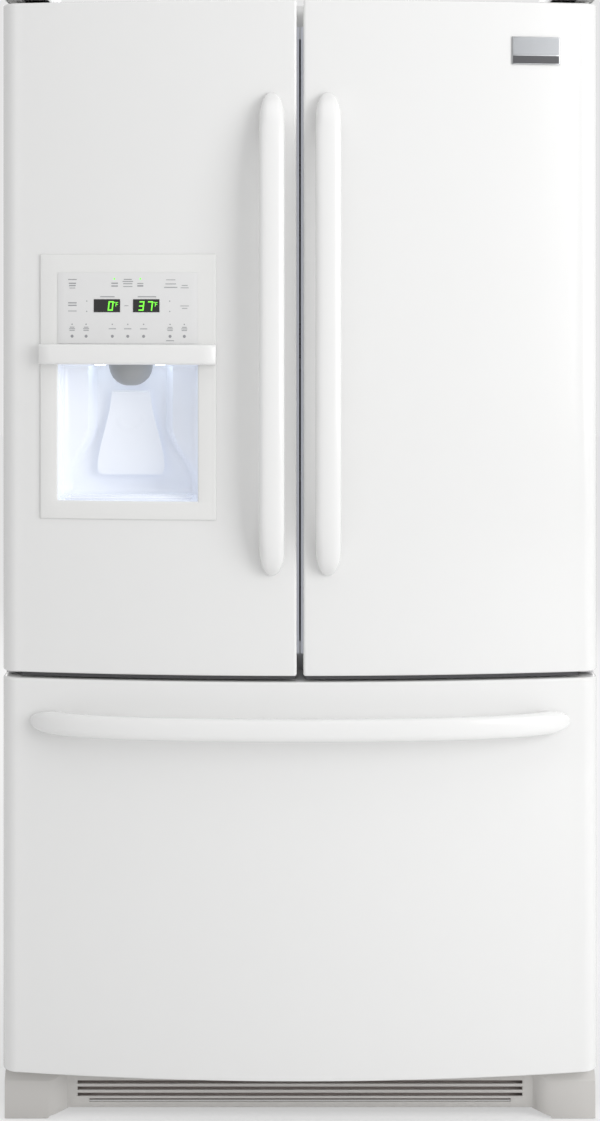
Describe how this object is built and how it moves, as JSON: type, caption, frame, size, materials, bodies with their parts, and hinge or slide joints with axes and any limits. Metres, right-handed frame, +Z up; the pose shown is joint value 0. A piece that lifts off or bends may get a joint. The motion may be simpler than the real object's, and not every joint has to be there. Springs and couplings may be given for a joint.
{
  "type": "french door refrigerator",
  "caption": "Bottom-freezer refrigerator with bowed white french doors, a dispenser niche in the left door, tubular handles and a freezer drawer.",
  "frame": {"origin": "centre of the object's footprint box, on the floor", "axes": "+Z up, the front with the doors faces -Y, +X to the right seen from the front"},
  "size_m": [0.908, 0.87, 1.7403],
  "materials": {
    "white_paint": "gloss white enamel",
    "handle_white": "gloss white",
    "white_plastic": "smooth moulded white",
    "panel_grey": "smooth pale grey film",
    "grey_plastic": "moulded warm grey",
    "black_plastic": "moulded black",
    "clear_plastic": "clear moulded plastic",
    "basket_white": "white moulded basket",
    "shelf_glass": "tempered glass in a white frame",
    "seal_rubber": "soft pale seal",
    "galvanised": "zinc coated sheet",
    "hinge_steel": "plated steel",
    "coated_steel": "black enamel",
    "foam": "foamed core"
  },
  "bodies": {
    "cabinet": {"cabinet_shell": "white_paint", "insulation_foam": "foam", "fridge_liner": "white_plastic", "freezer_liner": "white_plastic", "rear_panel": "galvanised", "machine_cover": "galvanised", "base_frame": "galvanised", "toe_grille": "grey_plastic", "compressor": "coated_steel", "condenser_coil": "coated_steel", "fan_shroud": "black_plastic", "water_valve": "white_plastic", "top_hinge_left": "hinge_steel", "top_hinge_right": "hinge_steel", "centre_hinge_left": "hinge_steel", "centre_hinge_right": "hinge_steel", "hinge_cover_left": "white_plastic", "hinge_cover_right": "white_plastic", "slide_rail_left": "galvanised", "slide_rail_right": "galvanised", "ice_maker_housing": "white_plastic", "shelf_ice_side": "shelf_glass", "shelf_milk_side": "shelf_glass", "shelf_full": "shelf_glass", "crisper_cover": "shelf_glass"},
    "left_door": {"left_door_skin": "white_paint", "left_door_liner": "white_plastic", "left_door_gasket": "seal_rubber", "left_door_handle": "handle_white", "left_door_bin": "clear_plastic", "dispenser_housing": "white_plastic", "control_panel": "panel_grey", "dispenser_trim": "white_plastic", "ice_chute": "grey_plastic"},
    "right_door": {"right_door_skin": "white_paint", "right_door_liner": "white_plastic", "right_door_gasket": "seal_rubber", "right_door_handle": "handle_white", "right_bin_lower": "clear_plastic", "right_bin_upper": "clear_plastic"},
    "freezer_drawer": {"drawer_skin": "white_paint", "drawer_liner": "white_plastic", "drawer_gasket": "seal_rubber", "drawer_handle": "handle_white", "lower_basket": "basket_white", "drawer_bracket_left": "galvanised", "drawer_bracket_right": "galvanised"},
    "slide_middle_left": {"slide_middle_left": "galvanised"},
    "slide_middle_right": {"slide_middle_right": "galvanised"},
    "upper_basket": {"upper_basket": "basket_white"},
    "crisper_left": {"crisper_left": "clear_plastic"},
    "crisper_right": {"crisper_right": "clear_plastic"},
    "folding_mullion": {"folding_mullion": "white_plastic"},
    "dispenser_paddle": {"dispenser_paddle": "clear_plastic"},
    "dairy_lid": {"dairy_lid": "clear_plastic"},
    "rear_roller_left": {"rear_roller_left": "black_plastic"},
    "rear_roller_right": {"rear_roller_right": "black_plastic"},
    "leveling_leg_left": {"leveling_leg_left": "hinge_steel"},
    "leveling_leg_right": {"leveling_leg_right": "hinge_steel"},
    "condenser_fan": {"condenser_fan": "black_plastic"}
  },
  "joints": [
    {"name": "left_door_hinge", "type": "hinge", "parent": "cabinet", "child": "left_door", "pos_m": [-0.44, -0.307, 1.197], "axis": [0, 0, -1], "range_deg": [0, 120]},
    {"name": "right_door_hinge", "type": "hinge", "parent": "cabinet", "child": "right_door", "pos_m": [0.44, -0.307, 1.197], "axis": [0, 0, 1], "range_deg": [0, 120]},
    {"name": "mullion_fold", "type": "hinge", "parent": "left_door", "child": "folding_mullion", "pos_m": [-0.032, -0.261, 1.19], "axis": [0, 0, -1], "range_deg": [0, 90]},
    {"name": "freezer_drawer_slide", "type": "slide", "parent": "cabinet", "child": "freezer_drawer", "axis": [0, -1, 0], "range_m": [0, 0.45]},
    {"name": "slide_middle_left_slide", "type": "slide", "parent": "cabinet", "child": "slide_middle_left", "axis": [0, -1, 0], "range_m": [0, 0.225]},
    {"name": "slide_middle_right_slide", "type": "slide", "parent": "cabinet", "child": "slide_middle_right", "axis": [0, -1, 0], "range_m": [0, 0.225]},
    {"name": "upper_basket_slide", "type": "slide", "parent": "cabinet", "child": "upper_basket", "axis": [0, -1, 0], "range_m": [0, 0.25]},
    {"name": "crisper_left_slide", "type": "slide", "parent": "cabinet", "child": "crisper_left", "axis": [0, -1, 0], "range_m": [0, 0.2]},
    {"name": "crisper_right_slide", "type": "slide", "parent": "cabinet", "child": "crisper_right", "axis": [0, -1, 0], "range_m": [0, 0.2]},
    {"name": "dispenser_paddle_push", "type": "hinge", "parent": "left_door", "child": "dispenser_paddle", "pos_m": [-0.26, -0.30295, 1.112], "axis": [1, 0, 0], "range_deg": [0, 4.5], "stiffness_Nm_per_rad": 0.4, "springref_deg": -11.46},
    {"name": "dairy_lid_hinge", "type": "hinge", "parent": "right_door", "child": "dairy_lid", "pos_m": [0.216, -0.271, 1.4938], "axis": [1, 0, 0], "range_deg": [0, 80]},
    {"name": "condenser_fan_spin", "type": "hinge", "parent": "cabinet", "child": "condenser_fan", "pos_m": [0.02, 0.301, 0.178], "axis": [1, 0, 0], "continuous": true},
    {"name": "rear_roller_left_spin", "type": "hinge", "parent": "cabinet", "child": "rear_roller_left", "pos_m": [-0.4, 0.353, 0.023], "axis": [1, 0, 0], "continuous": true},
    {"name": "leveling_leg_left_turn", "type": "hinge", "parent": "cabinet", "child": "leveling_leg_left", "pos_m": [-0.428, -0.235, 0.02], "axis": [0, 0, 1], "continuous": true},
    {"name": "rear_roller_right_spin", "type": "hinge", "parent": "cabinet", "child": "rear_roller_right", "pos_m": [0.4, 0.353, 0.023], "axis": [1, 0, 0], "continuous": true},
    {"name": "leveling_leg_right_turn", "type": "hinge", "parent": "cabinet", "child": "leveling_leg_right", "pos_m": [0.428, -0.235, 0.02], "axis": [0, 0, 1], "continuous": true}
  ],
  "couplings": [
    {"joint": "slide_middle_left_slide", "follows": "freezer_drawer_slide", "ratio": 0.5},
    {"joint": "slide_middle_right_slide", "follows": "freezer_drawer_slide", "ratio": 0.5},
    {"joint": "upper_basket_slide", "follows": "freezer_drawer_slide", "ratio": 0.55},
    {"joint": "crisper_left_slide", "follows": "left_door_hinge", "m_per_rad": 0.095},
    {"joint": "crisper_right_slide", "follows": "right_door_hinge", "m_per_rad": 0.095}
  ]
}
